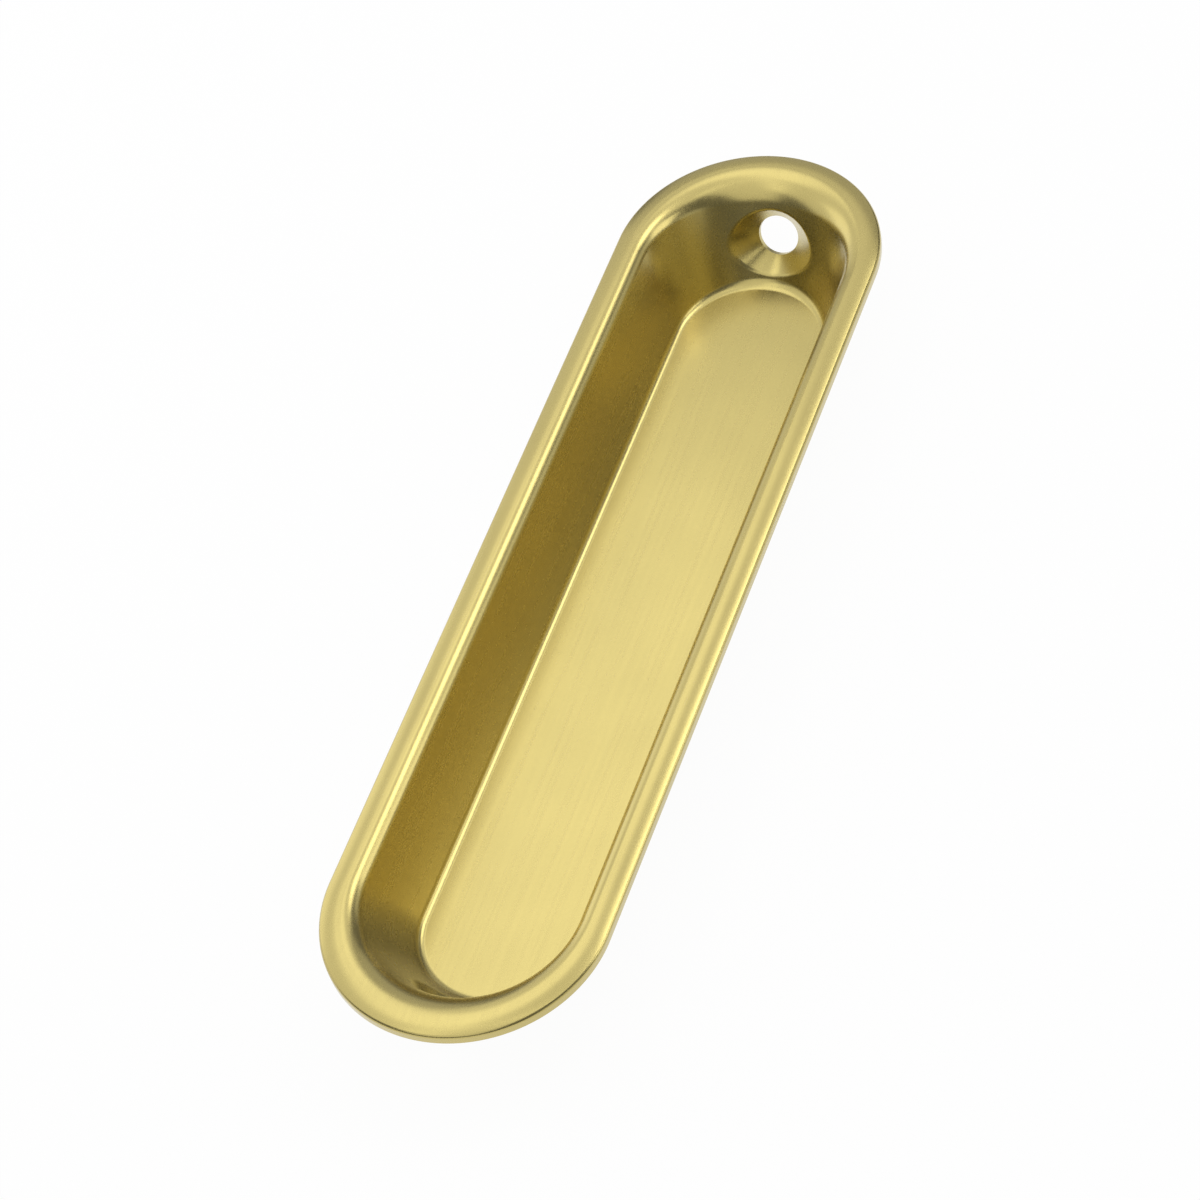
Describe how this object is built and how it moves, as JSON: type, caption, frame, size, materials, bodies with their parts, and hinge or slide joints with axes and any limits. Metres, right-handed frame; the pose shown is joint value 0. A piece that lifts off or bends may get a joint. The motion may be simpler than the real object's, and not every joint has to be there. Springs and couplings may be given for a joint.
{
  "type": "pocket door pull",
  "caption": "Flush pull for a sliding door: an obround pressed brass cup with a rounded rim and a countersunk screw hole in each sloping end wall.",
  "frame": {"origin": "middle of the flat back of the cup", "axes": "+X along the pull, +Y across it, +Z out of the cup's mouth, away from the door"},
  "size_m": [0.1012, 0.0256, 0.0099],
  "materials": {
    "satin_brass": "satin brass under clear lacquer"
  },
  "bodies": {
    "root": {"pull_body": "satin_brass"}
  },
  "joints": []
}
